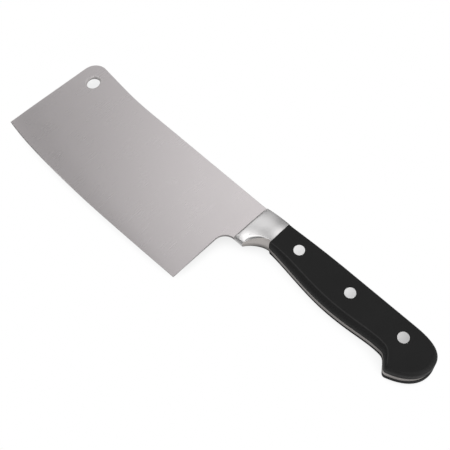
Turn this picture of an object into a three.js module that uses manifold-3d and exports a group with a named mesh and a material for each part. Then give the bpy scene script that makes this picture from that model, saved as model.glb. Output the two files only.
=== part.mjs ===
// A kitchen cleaver: one steel forging (blade, bolster and full tang), two black plastic
// scales, and three two-part rivets that clamp the scales to the tang.
//
// Millimetres. The knife lies on its side: +X runs from the blade's tip to the butt of the
// handle, +Y from the cutting edge to the spine, +Z through the thickness. While the pieces
// are made, x = 0 is the line where the blade meets the bolster, y = 0 the straight spine
// and z = 0 the middle of the thickness. Distances below the spine are given as depths.

import * as THREE from 'three';
import { mergeVertices } from 'three/addons/utils/BufferGeometryUtils.js';
import Module from 'manifold-3d';

const wasm = await Module();
wasm.setup();

// Blade, seen from the side
const BLADE_LENGTH = 162; // bolster line to the tip
const BLADE_DEPTH = 68.5; // spine to the lowest point of the edge
const HEEL_DEPTH = 65.8;
const TIP_DEPTH = 64.7;
const EDGE_LOW_BEHIND_TIP = 70; // lowest point of the edge
const EDGE_HEEL_FULLNESS = 0.75; // how far towards the low point the edge keeps its heel slope
const EDGE_TIP_FULLNESS = 0.68; // how far towards the tip the edge keeps level
const FRONT_LEAN = 3.9; // the front edge's top sits this far behind the tip
const SPINE_RISE_BEHIND_TIP = 61; // where the straight spine starts to sweep up
const SPINE_SWEEP_LENGTH = 26;
const SPINE_RISE = 4.5; // height of the unrounded front corner above the spine
const FRONT_CORNER_RADIUS = 10.5;
const HEEL_SETBACK = 7.4; // heel in front of the bolster line, and the choil's radius
const CHOIL_DEPTH = 26; // where the rounded notch behind the heel meets the bolster
const HANGING_HOLE_DIAMETER = 8.8;
const HANGING_HOLE_BEHIND_TIP = 15.9;
const HANGING_HOLE_DEPTH = 9.2;
const HANGING_HOLE_CHAMFER = 0.4;

// Blade, in section
const SPINE_THICKNESS = 3;
const SHOULDER_THICKNESS = 1; // where the flat face meets the edge bevel, at the low point
const EDGE_BEVEL = 1.6;
const EDGE_THICKNESS = 0.2;

// Bolster
const BOLSTER_LENGTH = 18.9;
const BOLSTER_DEPTH = 25.2; // at the bolster line
const BOLSTER_FRONT_THICKNESS = 5;
const SWELL_FULLNESS = 1.7; // 1 swells evenly to the handle's thickness, more swells early
const CHIN_SETBACK = 7.2; // bolster line to the point where the finger scoop starts
const CHIN_THICKNESS = 4.2;
const CHIN_KEEL = 0.3; // how far the underside bulges at the chin
const FLANK_HEIGHT = 7; // the faces fall away to the chin over this height
const FLANK_HEIGHT_BEHIND = 0.6; // and over this height at the handle
const CROWN_ROUNDING = 1.2; // along the top, at the bolster line
const TANG_THICKNESS = 3.2;
const BLADE_ROOT = 3; // the blade is fused this far into the bolster

// Handle, seen from the side
const HANDLE_THICKNESS = 15.4;
const HANDLE_LENGTH = 107.4; // behind the bolster
const HANDLE_FRONT_TOP_DEPTH = 0.45;
const HANDLE_FRONT_BOTTOM_DEPTH = 17.3;
const HUMP_HEIGHT = 1.1; // the handle's back stands this far above the spine
const HUMP_START = 47; // behind the handle's front
const HUMP_BEFORE_BUTT = 21.5;
const BUTT_DEPTH = 9.6; // the rearmost point
const BEAK_BEFORE_BUTT = 16.9; // the hooked lower corner of the butt
const BEAK_DEPTH = 28;
const BEAK_RADIUS = 2.2;
const SOLE_SLOPE = THREE.MathUtils.degToRad(18); // of the butt's underside at the beak
const BEAK_LEAN = THREE.MathUtils.degToRad(30); // the beak's inner side leans forward
const WAIST_BEFORE_BEAK = 12.7; // where the hollow in front of the beak runs out
const WAIST_DEPTH = 20.2;
const BELLY_DEPTH = 22.3;
const BELLY_BEHIND_FRONT = 47;
const THROAT_SLOPE = THREE.MathUtils.degToRad(6); // of the belly where it meets the bolster

// How far each curve of the handle's outline keeps the direction of its start and of its
// end, as shares of the way between them, clockwise from the top of the front
const FULLNESS = {
	hump: [0.1, 0.6],
	buttTop: [0.8, 0.75],
	buttSole: [0.64, 0.38],
	hollow: [0.6, 0.6],
	waistToBelly: [0.25, 0.45],
	bellyToFront: [0.34, 0.36],
};

// Rounding of the scales' long edges: how far the flat face stays inside the outline
const INSET_TOP = 1.8;
const INSET_BUTT = 3;
const INSET_BEAK = 1.3;
const INSET_WAIST = 2.6;
const INSET_BELLY = 3.1;
const INSET_FRONT = 1.1;
const INSET_FRONT_LATENESS = 5; // 1 changes evenly from the belly to the front, more only near it
const SIDE_WALL = 1.8; // the sides stand upright this far above the tang, then round over
const CREASE_TURN = THREE.MathUtils.degToRad(70); // turn of the rounded side up to the face

// Rivets
const RIVET_SETBACKS = [15.2, 51.7, 87.2]; // behind the handle's front
const RIVET_DEPTH = 9.05;
const RIVET_HEAD_DIAMETER = 6.5;
const RIVET_HEAD_THICKNESS = 2.2;
const SLEEVE_DIAMETER = 4.6;
const PIN_DIAMETER = 3;
const SLEEVE_END_TO_HEAD = 0.5; // the sleeve stops this far short of the pin's head
const PIN_END_TO_SLEEVE = 0.5; // the pin stops this far short of the sleeve's blind end
const HEAD_CLEARANCE = 0.1;
const SLEEVE_CLEARANCE = 0.15;
const PIN_CLEARANCE = 0.1;

// Fineness of the facets
const CUT_MARGIN = 3; // how far a cutting solid reaches past what it cuts
const CURVE_STEPS = 12;
const ROUNDING_STEPS = 5;
const FLANK_STEPS = 4;
const CHIN_STEPS = 3;
const RIVET_SIDES = 32;
const HOLE_SIDES = 48;
const SAME_POINT = 1e-4; // points closer than this are one point

// Sizes that follow from the ones above
const bladeTip = new THREE.Vector2(-BLADE_LENGTH, -TIP_DEPTH);
const heelCorner = new THREE.Vector2(-HEEL_SETBACK, -HEEL_DEPTH);
const edgeLowPoint = new THREE.Vector2(bladeTip.x + EDGE_LOW_BEHIND_TIP, -BLADE_DEPTH);
const halfTang = TANG_THICKNESS / 2;
const halfHandle = HANDLE_THICKNESS / 2;
const scaleThickness = halfHandle - halfTang;
const handleEnd = BOLSTER_LENGTH + HANDLE_LENGTH;
const bladeTaper = (SPINE_THICKNESS - SHOULDER_THICKNESS) / 2 / (BLADE_DEPTH - EDGE_BEVEL);
const sleeveHoleRadius = SLEEVE_DIAMETER / 2 + SLEEVE_CLEARANCE;

// Half of the blade's thickness on its flat faces, at a height y
function bladeHalfThickness(y) {
	return SPINE_THICKNESS / 2 + bladeTaper * y;
}

// Turn a closed three.js geometry into a solid that can be joined and cut
function toSolid(geometry) {
	geometry.deleteAttribute('normal');
	geometry.deleteAttribute('uv');
	const merged = mergeVertices(geometry, SAME_POINT);
	const vertProperties = new Float32Array(merged.attributes.position.array);
	const triVerts = new Uint32Array(merged.index.array);
	return new wasm.Manifold(new wasm.Mesh({ numProp: 3, vertProperties, triVerts }));
}

function toGeometry(solid) {
	const mesh = solid.getMesh();
	const geometry = new THREE.BufferGeometry();
	geometry.setAttribute('position', new THREE.BufferAttribute(mesh.vertProperties, 3));
	geometry.setIndex(new THREE.BufferAttribute(mesh.triVerts, 1));
	return geometry.toNonIndexed();
}

// A closed skin through rings of points. The rings follow one another along an axis, and
// each runs anticlockwise seen from that axis's far end. flat gives a point's place in the
// plane of the end rings.
function loft(rings, flat) {
	const count = rings[0].length;
	const positions = rings.flat().flatMap((point) => point.toArray());
	const index = [];
	for (let ring = 0; ring + 1 < rings.length; ring++) {
		for (let side = 0; side < count; side++) {
			const next = (side + 1) % count;
			const near = ring * count;
			const far = near + count;
			index.push(near + side, near + next, far + next);
			index.push(near + side, far + next, far + side);
		}
	}
	const last = (rings.length - 1) * count;
	for (const [a, b, c] of THREE.ShapeUtils.triangulateShape(rings[0].map(flat), [])) {
		index.push(c, b, a);
	}
	for (const [a, b, c] of THREE.ShapeUtils.triangulateShape(rings.at(-1).map(flat), [])) {
		index.push(last + a, last + b, last + c);
	}
	const geometry = new THREE.BufferGeometry();
	geometry.setAttribute('position', new THREE.Float32BufferAttribute(positions, 3));
	geometry.setIndex(index);
	return geometry;
}

// A shape extruded evenly to both sides of z = 0
function slab(shape, thickness) {
	const geometry = new THREE.ExtrudeGeometry(shape, {
		depth: thickness,
		curveSegments: CURVE_STEPS,
		bevelEnabled: false,
	});
	return geometry.translate(0, 0, -thickness / 2);
}

// A turned piece about an axis along z. The profile's points are [radius, height].
function turned(profile, sides) {
	const points = profile.map(([radius, height]) => new THREE.Vector2(radius, height));
	return new THREE.LatheGeometry(points, sides).rotateX(Math.PI / 2);
}

// Continue a path to a corner that is rounded with a radius, towards a further point
function roundCorner(path, corner, towards, radius) {
	const back = path.currentPoint.clone().sub(corner).normalize();
	const ahead = towards.clone().sub(corner).normalize();
	const halfAngle = Math.acos(back.dot(ahead)) / 2;
	const run = radius / Math.tan(halfAngle);
	const start = corner.clone().addScaledVector(back, run);
	const end = corner.clone().addScaledVector(ahead, run);
	const bisector = back.clone().add(ahead).normalize();
	const centre = corner.clone().addScaledVector(bisector, radius / Math.sin(halfAngle));
	const clockwise = back.cross(ahead) > 0;
	path.lineTo(start.x, start.y);
	path.absarc(
		centre.x,
		centre.y,
		radius,
		start.clone().sub(centre).angle(),
		end.clone().sub(centre).angle(),
		clockwise,
	);
}

// The cutting edge, from the heel to the tip: two curves that meet level at the low point
function cuttingEdge() {
	const edge = new THREE.Path();
	const heelBend = THREE.MathUtils.lerp(heelCorner.x, edgeLowPoint.x, EDGE_HEEL_FULLNESS);
	const tipBend = THREE.MathUtils.lerp(edgeLowPoint.x, bladeTip.x, EDGE_TIP_FULLNESS);
	edge.moveTo(heelCorner.x, heelCorner.y);
	edge.quadraticCurveTo(heelBend, edgeLowPoint.y, edgeLowPoint.x, edgeLowPoint.y);
	edge.quadraticCurveTo(tipBend, edgeLowPoint.y, bladeTip.x, bladeTip.y);
	return edge.getPoints(CURVE_STEPS);
}

// The blade's taper and edge bevel, as one long wedge that is larger than its outline
function bladeWedge() {
	const top = SPINE_RISE + CUT_MARGIN;
	const stations = [
		new THREE.Vector2(bladeTip.x - CUT_MARGIN, bladeTip.y),
		...cuttingEdge().reverse(),
		new THREE.Vector2(BLADE_ROOT + CUT_MARGIN, heelCorner.y),
	];
	const rings = stations.map(({ x, y }) => {
		const shoulder = y + EDGE_BEVEL;
		const section = [
			[y, -EDGE_THICKNESS / 2],
			[shoulder, -bladeHalfThickness(shoulder)],
			[top, -bladeHalfThickness(top)],
			[top, bladeHalfThickness(top)],
			[shoulder, bladeHalfThickness(shoulder)],
			[y, EDGE_THICKNESS / 2],
		];
		return section.map(([height, depth]) => new THREE.Vector3(x, height, depth));
	});
	return loft(rings, ({ y, z }) => new THREE.Vector2(y, z));
}

// The blade's outline, from its root in the bolster round by the spine, front and heel
function bladeOutline() {
	const frontTop = new THREE.Vector2(bladeTip.x + FRONT_LEAN, SPINE_RISE);
	const below = -BLADE_DEPTH - CUT_MARGIN;
	const lean = FRONT_LEAN / (SPINE_RISE + TIP_DEPTH);
	const frontBottom = new THREE.Vector2(bladeTip.x + lean * (below - bladeTip.y), below);
	const sweepStart = bladeTip.x + SPINE_RISE_BEHIND_TIP;
	const sweepBend = sweepStart - SPINE_SWEEP_LENGTH / 2;
	const sweepSlope = SPINE_RISE / (frontTop.x - sweepBend);
	const sweepEnd = sweepStart - SPINE_SWEEP_LENGTH;
	const choilMiddle = -CHOIL_DEPTH - HEEL_SETBACK;

	const outline = new THREE.Shape();
	outline.moveTo(0, 0);
	outline.lineTo(sweepStart, 0);
	outline.quadraticCurveTo(sweepBend, 0, sweepEnd, sweepSlope * (sweepEnd - sweepBend));
	roundCorner(outline, frontTop, frontBottom, FRONT_CORNER_RADIUS);
	outline.lineTo(frontBottom.x, frontBottom.y);
	outline.lineTo(heelCorner.x, below);
	outline.lineTo(heelCorner.x, choilMiddle);
	outline.absarc(0, choilMiddle, HEEL_SETBACK, Math.PI, Math.PI / 2, true);
	outline.lineTo(BLADE_ROOT, -BOLSTER_DEPTH + BLADE_ROOT);
	outline.lineTo(BLADE_ROOT, -BLADE_ROOT);
	return outline;
}

function hangingHole() {
	const x = bladeTip.x + HANGING_HOLE_BEHIND_TIP;
	const y = -HANGING_HOLE_DEPTH;
	const radius = HANGING_HOLE_DIAMETER / 2;
	const face = bladeHalfThickness(y);
	const wall = face - HANGING_HOLE_CHAMFER;
	const profile = [
		[0, -wall - CUT_MARGIN],
		[radius + CUT_MARGIN, -wall - CUT_MARGIN],
		[radius, -wall],
		[radius, wall],
		[radius + CUT_MARGIN, wall + CUT_MARGIN],
		[0, wall + CUT_MARGIN],
	];
	return turned(profile, HOLE_SIDES).translate(x, y, 0);
}

// The rounded side of the handle in section, from the tang up to the face: how far each step
// has risen and how far it has drawn in, as shares of the full rise and the full inset
function sideRounding() {
	const wall = SIDE_WALL / scaleThickness;
	const steps = [{ rise: 0, inset: 0 }];
	for (let step = 0; step <= ROUNDING_STEPS; step++) {
		const turn = (CREASE_TURN * step) / ROUNDING_STEPS;
		steps.push({
			rise: wall + ((1 - wall) * Math.sin(turn)) / Math.sin(CREASE_TURN),
			inset: (1 - Math.cos(turn)) / (1 - Math.cos(CREASE_TURN)),
		});
	}
	return steps;
}

// One section of the bolster, anticlockwise seen from +X. From the bottom up it has an
// underside that bulges by keel, a flank that swells from the underside's half width to the
// full half width, a flat face and a rounded crown.
function bolsterRing({ x, top, bottom, underside, half, keel, flank, crown }) {
	const rounding = sideRounding();
	const risen = (rise, width) => halfTang + rise * (width - halfTang);
	const flankFoot = bottom + keel;
	const side = rounding.map(({ rise, inset }) => [bottom + inset * keel, risen(rise, underside)]);
	for (let step = 1; step <= FLANK_STEPS; step++) {
		const up = step / FLANK_STEPS;
		const swell = 1 - (1 - up) ** 2;
		side.push([flankFoot + up * flank, THREE.MathUtils.lerp(underside, half, swell)]);
	}
	for (const { rise, inset } of rounding.toReversed()) {
		side.push([top - inset * crown, risen(rise, half)]);
	}
	const farSide = side.map(([y, z]) => [y, -z]);
	return [...farSide, ...side.toReversed()].map(([y, z]) => new THREE.Vector3(x, y, z));
}

// The bolster swells from the blade to the handle's thickness. Its lower edge runs level to
// the chin and then up a quarter ellipse, the scoop for the index finger.
function bolster() {
	const lerp = THREE.MathUtils.lerp;
	const scoopLength = BOLSTER_LENGTH - CHIN_SETBACK;
	const scoopRise = BOLSTER_DEPTH - HANDLE_FRONT_BOTTOM_DEPTH;
	const stations = [];
	for (let step = 0; step < CHIN_STEPS; step++) {
		stations.push({ x: (CHIN_SETBACK * step) / CHIN_STEPS, scooped: 0 });
	}
	for (let step = 0; step <= CURVE_STEPS; step++) {
		const turn = ((Math.PI / 2) * step) / CURVE_STEPS;
		stations.push({ x: BOLSTER_LENGTH - scoopLength * Math.cos(turn), scooped: Math.sin(turn) });
	}
	const rings = stations.map(({ x, scooped }) => {
		const along = x / BOLSTER_LENGTH;
		const swell = 1 - (1 - along) ** SWELL_FULLNESS;
		const half = lerp(BOLSTER_FRONT_THICKNESS / 2, halfHandle, swell);
		return bolsterRing({
			x,
			half,
			top: -along * HANDLE_FRONT_TOP_DEPTH,
			bottom: -BOLSTER_DEPTH + scooped * scoopRise,
			underside: lerp(CHIN_THICKNESS / 2, half, scooped),
			keel: lerp(CHIN_KEEL, INSET_FRONT, scooped),
			flank: lerp(FLANK_HEIGHT, FLANK_HEIGHT_BEHIND, scooped),
			crown: lerp(CROWN_ROUNDING, INSET_TOP, along),
		});
	});
	return loft(rings, ({ y, z }) => new THREE.Vector2(y, z));
}

// A curve between two points, each with the direction of travel there. The two shares say
// how far the curve keeps the direction of its start and of its end.
function fullCurve(start, startAlong, end, endAlong, [startShare, endShare]) {
	const way = end.clone().sub(start);
	const afterStart = start.clone().addScaledVector(startAlong, startShare * way.dot(startAlong));
	const beforeEnd = end.clone().addScaledVector(endAlong, -endShare * way.dot(endAlong));
	return new THREE.CubicBezierCurve(start, afterStart, beforeEnd, end);
}

// The handle's outline behind the bolster, clockwise from the top of its front to the bottom
// of its front, as curves. Each has the face's inset at its start and at its end.
function handleCurves() {
	const point = (x, y) => new THREE.Vector2(x, y);
	const rearward = point(1, 0);
	const down = point(0, -1);
	const forward = point(-1, 0);
	const frontTop = point(BOLSTER_LENGTH, -HANDLE_FRONT_TOP_DEPTH);
	const humpStart = point(BOLSTER_LENGTH + HUMP_START, HUMP_HEIGHT);
	const humpEnd = point(handleEnd - HUMP_BEFORE_BUTT, HUMP_HEIGHT);
	const butt = point(handleEnd, -BUTT_DEPTH);
	const beakTip = new THREE.EllipseCurve(
		handleEnd - BEAK_BEFORE_BUTT,
		-BEAK_DEPTH + BEAK_RADIUS,
		BEAK_RADIUS,
		BEAK_RADIUS,
		-Math.PI / 2 + SOLE_SLOPE,
		-Math.PI + BEAK_LEAN,
		true,
	);
	const soleEnd = beakTip.getPoint(0);
	const downTheSole = point(-Math.cos(SOLE_SLOPE), -Math.sin(SOLE_SLOPE));
	const notch = beakTip.getPoint(1);
	const upTheNotch = point(-Math.sin(BEAK_LEAN), Math.cos(BEAK_LEAN));
	const waist = point(handleEnd - BEAK_BEFORE_BUTT - WAIST_BEFORE_BEAK, -WAIST_DEPTH);
	const belly = point(BOLSTER_LENGTH + BELLY_BEHIND_FRONT, -BELLY_DEPTH);
	const frontBottom = point(BOLSTER_LENGTH, -HANDLE_FRONT_BOTTOM_DEPTH);
	const upTheThroat = point(-Math.cos(THROAT_SLOPE), Math.sin(THROAT_SLOPE));
	const { hump, buttTop, buttSole, hollow, waistToBelly, bellyToFront } = FULLNESS;
	return [
		[fullCurve(frontTop, rearward, humpStart, rearward, hump), INSET_TOP, INSET_TOP],
		[fullCurve(humpEnd, rearward, butt, down, buttTop), INSET_TOP, INSET_BUTT],
		[fullCurve(butt, down, soleEnd, downTheSole, buttSole), INSET_BUTT, INSET_BEAK],
		[beakTip, INSET_BEAK, INSET_BEAK],
		[fullCurve(notch, upTheNotch, waist, forward, hollow), INSET_BEAK, INSET_WAIST],
		[fullCurve(waist, forward, belly, forward, waistToBelly), INSET_WAIST, INSET_BELLY],
		[
			fullCurve(belly, forward, frontBottom, upTheThroat, bellyToFront),
			INSET_BELLY,
			INSET_FRONT,
			INSET_FRONT_LATENESS,
		],
	];
}

// The points of the handle's outline, anticlockwise, each with its inset and the direction
// in which it draws in
function handleOutline() {
	const outline = [];
	for (const [curve, insetStart, insetEnd, lateness = 1] of handleCurves()) {
		for (let step = 0; step <= CURVE_STEPS; step++) {
			const share = step / CURVE_STEPS;
			const place = curve.getPoint(share);
			const along = curve.getTangent(share);
			const repeated = outline.length > 0 && place.distanceTo(outline.at(-1).place) < SAME_POINT;
			if (!repeated) {
				outline.push({
					place,
					inset: THREE.MathUtils.lerp(insetStart, insetEnd, share ** lateness),
					inward: new THREE.Vector2(along.y, -along.x),
				});
			}
		}
	}
	// The front is a flat face against the bolster, so its two corners draw in along it
	outline[0].inward.set(0, -1);
	outline.at(-1).inward.set(0, 1);
	return outline.reverse();
}

function tang() {
	const shape = new THREE.Shape(handleOutline().map(({ place }) => place));
	return slab(shape, TANG_THICKNESS);
}

function rivetPlaces() {
	return RIVET_SETBACKS.map((setback) => new THREE.Vector2(BOLSTER_LENGTH + setback, -RIVET_DEPTH));
}

function bladeForging() {
	let forging = toSolid(slab(bladeOutline(), SPINE_THICKNESS)).intersect(toSolid(bladeWedge()));
	forging = forging.subtract(toSolid(hangingHole()));
	forging = forging.add(toSolid(bolster())).add(toSolid(tang()));
	const reach = halfTang + CUT_MARGIN;
	const drill = [
		[0, -reach],
		[sleeveHoleRadius, -reach],
		[sleeveHoleRadius, reach],
		[0, reach],
	];
	for (const { x, y } of rivetPlaces()) {
		forging = forging.subtract(toSolid(turned(drill, RIVET_SIDES).translate(x, y, 0)));
	}
	return toGeometry(forging);
}

// The front scale, on the tang's +Z face: a flat face whose long edges round down to the
// tang, with a stepped hole for each rivet
function frontScale() {
	const outline = handleOutline();
	const rings = sideRounding().map(({ rise, inset }) => {
		const z = halfTang + rise * scaleThickness;
		return outline.map((point) => {
			const drawn = point.place.clone().addScaledVector(point.inward, inset * point.inset);
			return new THREE.Vector3(drawn.x, drawn.y, z);
		});
	});
	let scale = toSolid(loft(rings, ({ x, y }) => new THREE.Vector2(x, y)));
	const headRadius = RIVET_HEAD_DIAMETER / 2 + HEAD_CLEARANCE;
	const seat = halfHandle - RIVET_HEAD_THICKNESS;
	const through = halfTang - CUT_MARGIN;
	const above = halfHandle + CUT_MARGIN;
	const drill = [
		[0, through],
		[sleeveHoleRadius, through],
		[sleeveHoleRadius, seat],
		[headRadius, seat],
		[headRadius, above],
		[0, above],
	];
	for (const { x, y } of rivetPlaces()) {
		scale = scale.subtract(toSolid(turned(drill, RIVET_SIDES).translate(x, y, 0)));
	}
	return toGeometry(scale);
}

// The same scale turned over onto the other face of the tang
function backScale() {
	const mirrored = toSolid(frontScale()).mirror([0, 0, 1]);
	return toGeometry(mirrored);
}

// The hollow half of a rivet: a flush head on the front face and a sleeve through the tang
function rivetSleeve() {
	const head = RIVET_HEAD_DIAMETER / 2;
	const outer = SLEEVE_DIAMETER / 2;
	const bore = PIN_DIAMETER / 2 + PIN_CLEARANCE;
	const seat = halfHandle - RIVET_HEAD_THICKNESS;
	const mouth = -seat + SLEEVE_END_TO_HEAD;
	const profile = [
		[0, seat],
		[bore, seat],
		[bore, mouth],
		[outer, mouth],
		[outer, seat],
		[head, seat],
		[head, halfHandle],
		[0, halfHandle],
	];
	return turned(profile, RIVET_SIDES);
}

// The solid half of a rivet: a flush head on the back face and a pin driven into the sleeve
function rivetPin() {
	const head = RIVET_HEAD_DIAMETER / 2;
	const pin = PIN_DIAMETER / 2;
	const seat = halfHandle - RIVET_HEAD_THICKNESS;
	const end = seat - PIN_END_TO_SLEEVE;
	const profile = [
		[0, -halfHandle],
		[head, -halfHandle],
		[head, -seat],
		[pin, -seat],
		[pin, end],
		[0, end],
	];
	return turned(profile, RIVET_SIDES);
}

const satinSteel = { color: 0xb9b7b5, roughness: 0.35, metalness: 1 };
const blackPlastic = { color: 0x1c1c1c, roughness: 0.45, metalness: 0 };
const rivetSteel = { color: 0xdedcda, roughness: 0.3, metalness: 1 };

function piece(name, geometry, finish) {
	geometry.computeVertexNormals();
	const mesh = new THREE.Mesh(geometry, new THREE.MeshStandardMaterial(finish));
	mesh.name = name;
	return mesh;
}

const knife = new THREE.Group();
knife.add(piece('blade_forging', bladeForging(), satinSteel));
knife.add(piece('front_scale', frontScale(), blackPlastic));
knife.add(piece('back_scale', backScale(), blackPlastic));
rivetPlaces().forEach(({ x, y }, step) => {
	const sleeve = piece(`rivet_sleeve_${step + 1}`, rivetSleeve(), rivetSteel);
	const pin = piece(`rivet_pin_${step + 1}`, rivetPin(), rivetSteel);
	for (const half of [sleeve, pin]) {
		half.position.set(x, y, 0);
		knife.add(half);
	}
});

// The origin is under the middle of the knife as it lies on its back face
const extent = new THREE.Box3().setFromObject(knife);
const middle = extent.getCenter(new THREE.Vector3());
knife.position.set(-middle.x, -middle.y, -extent.min.z);

export default knife;
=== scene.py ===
import math

import bmesh
import bpy
from mathutils import Matrix, Vector


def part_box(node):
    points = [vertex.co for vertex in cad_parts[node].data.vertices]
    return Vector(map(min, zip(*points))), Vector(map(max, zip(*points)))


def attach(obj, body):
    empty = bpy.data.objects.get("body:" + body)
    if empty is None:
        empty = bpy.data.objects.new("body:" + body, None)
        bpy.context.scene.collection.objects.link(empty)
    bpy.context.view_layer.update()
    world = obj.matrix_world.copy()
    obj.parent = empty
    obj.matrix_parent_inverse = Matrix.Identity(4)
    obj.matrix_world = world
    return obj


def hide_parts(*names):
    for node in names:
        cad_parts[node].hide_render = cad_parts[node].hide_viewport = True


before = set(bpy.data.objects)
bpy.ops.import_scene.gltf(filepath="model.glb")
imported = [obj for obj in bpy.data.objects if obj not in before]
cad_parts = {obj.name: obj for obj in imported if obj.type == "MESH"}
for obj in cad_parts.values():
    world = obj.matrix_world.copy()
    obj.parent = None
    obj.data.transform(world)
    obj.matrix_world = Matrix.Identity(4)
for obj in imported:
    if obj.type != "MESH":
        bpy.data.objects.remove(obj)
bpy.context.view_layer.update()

# The blade: one end of a stainless steel forging that also makes the bolster and the full tang.
# It is ground to a taper and an edge, satin finished from spine to edge, and has a hanging hole.
# All in millimetres, with x = 0 on the bolster line, y = 0 on the spine and z = 0 mid thickness.
MM = 0.001
BLADE_LENGTH = 162
BLADE_DEPTH = 68.5
HEEL_DEPTH = 65.8
TIP_DEPTH = 64.7
EDGE_LOW_BEHIND_TIP = 70
EDGE_HEEL_FULLNESS = 0.75
EDGE_TIP_FULLNESS = 0.68
FRONT_LEAN = 3.9
SPINE_RISE_BEHIND_TIP = 61
SPINE_SWEEP_LENGTH = 26
SPINE_RISE = 4.33
FRONT_CORNER_RADIUS = 9.2
HEEL_SETBACK = 7.4
CHOIL_DEPTH = 26.1
HANGING_HOLE_DIAMETER = 8.6
HANGING_HOLE_BEHIND_TIP = 15.9
HANGING_HOLE_DEPTH = 9.2
HANGING_HOLE_ROUNDING = 1.15
SPINE_THICKNESS = 3
FACE_TAPER_TIP = 0.0155  # loss of half thickness per millimetre below the spine
FACE_TAPER_HEEL = 0.0215
ROUNDED_WIDTH_TIP = 24  # the faces round towards the edge over this width
ROUNDED_WIDTH_HEEL = 4.6
ROUNDED_DROP_TIP = 0.37  # and lose this much half thickness there
ROUNDED_DROP_HEEL = 0
ROUNDED_FULLNESS = 2.2
EDGE_BEVEL_TIP = 0.5
EDGE_BEVEL_HEEL = 0.12
BEVEL_WIDE_BEHIND_TIP = 60  # the bevel keeps its width up to here
BEVEL_NARROW_BEHIND_TIP = 85  # and is narrow from here on
EDGE_ANGLE = math.radians(4.5)  # of each side of the bevel
RIM_CHAMFER = 0.2
BLADE_ROOT = 3  # the blade runs this far into the bolster
SPINE_ROOT = 0.3
HANDLE_THICKNESS = 15.4
EDGE_STEPS = 30
CORNER_STEPS = 24
STRAIGHT_STEPS = 24
HOLE_SIDES = 96
HOLE_ROUNDING_STEPS = 6
FACE_GRID = 8  # spacing of the cuts that let the faces follow their rounding
FINE_GRID = 2  # and of those near the edge
FINE_GRID_DEPTH = 40
CUT_TOLERANCE = 0.001
NEARLY_STRAIGHT = 0.01  # sine of the turn below which two sides count as one line

forging_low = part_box("blade_forging")[0]
drawing_origin = Vector((
    forging_low.x + BLADE_LENGTH * MM,
    forging_low.y + BLADE_DEPTH * MM,
    HANDLE_THICKNESS / 2 * MM,
))
drawing_to_frame = Matrix.Translation(drawing_origin) @ Matrix.Scale(MM, 4)


def between(start, end, share):
    return start + (end - start) * share


def spaced(start, end, steps):
    return [between(start, end, step / steps) for step in range(steps + 1)]


def curve(controls, steps):
    """Points of the smooth curve that the control points draw."""
    points = []
    for step in range(steps + 1):
        hull = list(controls)
        while len(hull) > 1:
            hull = [between(a, b, step / steps) for a, b in zip(hull, hull[1:])]
        points.append(hull[0])
    return points


def arc(centre, radius, start, end, steps):
    return [centre + radius * Vector((math.cos(a), math.sin(a))) for a in spaced(start, end, steps)]


def rounded_corner(before, corner, after, radius, steps):
    """The arc that rounds a corner between two straight lines."""
    back = (before - corner).normalized()
    ahead = (after - corner).normalized()
    half_angle = back.angle(ahead) / 2
    centre = corner + (back + ahead).normalized() * radius / math.sin(half_angle)
    run = radius / math.tan(half_angle)
    from_centre = corner + back * run - centre
    to_centre = corner + ahead * run - centre
    start = math.atan2(from_centre.y, from_centre.x)
    turn = math.atan2(to_centre.y, to_centre.x) - start
    turn = (turn + math.pi) % (2 * math.pi) - math.pi
    return arc(centre, radius, start, start + turn, steps)


tip = Vector((-BLADE_LENGTH, -TIP_DEPTH))
heel = Vector((-HEEL_SETBACK, -HEEL_DEPTH))
edge_low = Vector((EDGE_LOW_BEHIND_TIP - BLADE_LENGTH, -BLADE_DEPTH))
tip_bend = Vector((between(edge_low.x, tip.x, EDGE_TIP_FULLNESS), -BLADE_DEPTH))
heel_bend = Vector((between(heel.x, edge_low.x, EDGE_HEEL_FULLNESS), -BLADE_DEPTH))
cutting_edge = curve([tip, tip_bend, edge_low], EDGE_STEPS)
cutting_edge += curve([edge_low, heel_bend, heel], EDGE_STEPS)[1:]


def edge_height(x):
    """The height y of the cutting edge below a place x on the blade."""
    for left, right in zip(cutting_edge, cutting_edge[1:]):
        if left.x <= x <= right.x:
            return between(left.y, right.y, (x - left.x) / (right.x - left.x))
    return tip.y if x < tip.x else heel.y


def blade_half(x, y):
    """Half of the blade's thickness on its faces."""
    towards_heel = min(max((x - tip.x) / (heel.x - tip.x), 0), 1)
    width = between(ROUNDED_WIDTH_TIP, ROUNDED_WIDTH_HEEL, towards_heel)
    drop = between(ROUNDED_DROP_TIP, ROUNDED_DROP_HEEL, towards_heel)
    taper = between(FACE_TAPER_TIP, FACE_TAPER_HEEL, towards_heel)
    into = min(max(1 - (y - edge_height(x)) / width, 0), 1)
    return SPINE_THICKNESS / 2 + taper * y - drop * into ** ROUNDED_FULLNESS


def drawn_in(outline, insets):
    """A closed outline moved inwards, each side by its own inset."""
    sides = []
    for start, end, inset in zip(outline, outline[1:] + outline[:1], insets):
        along = (end - start).normalized()
        inward = Vector((-along.y, along.x))
        sides.append((inward, inward.dot(start) + inset))
    moved = []
    sides_before = sides[-1:] + sides[:-1]
    for (before, reach_before), (after, reach_after), place, inset in zip(
        sides_before, sides, outline, insets
    ):
        cross = before.x * after.y - before.y * after.x
        if abs(cross) < NEARLY_STRAIGHT:
            moved.append(place + after * inset)
        else:
            x = (reach_before * after.y - reach_after * before.y) / cross
            y = (before.x * reach_after - after.x * reach_before) / cross
            moved.append(Vector((x, y)))
    return moved


def ring(shape, points):
    return [shape.verts.new(point) for point in points]


def skin(shape, rings, finish):
    """Faces between closed rings of points that follow one another."""
    for near, far in zip(rings, rings[1:]):
        for k in range(len(near)):
            corners = (near[k - 1], near[k], far[k], far[k - 1])
            shape.faces.new(corners).material_index = finish


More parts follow.
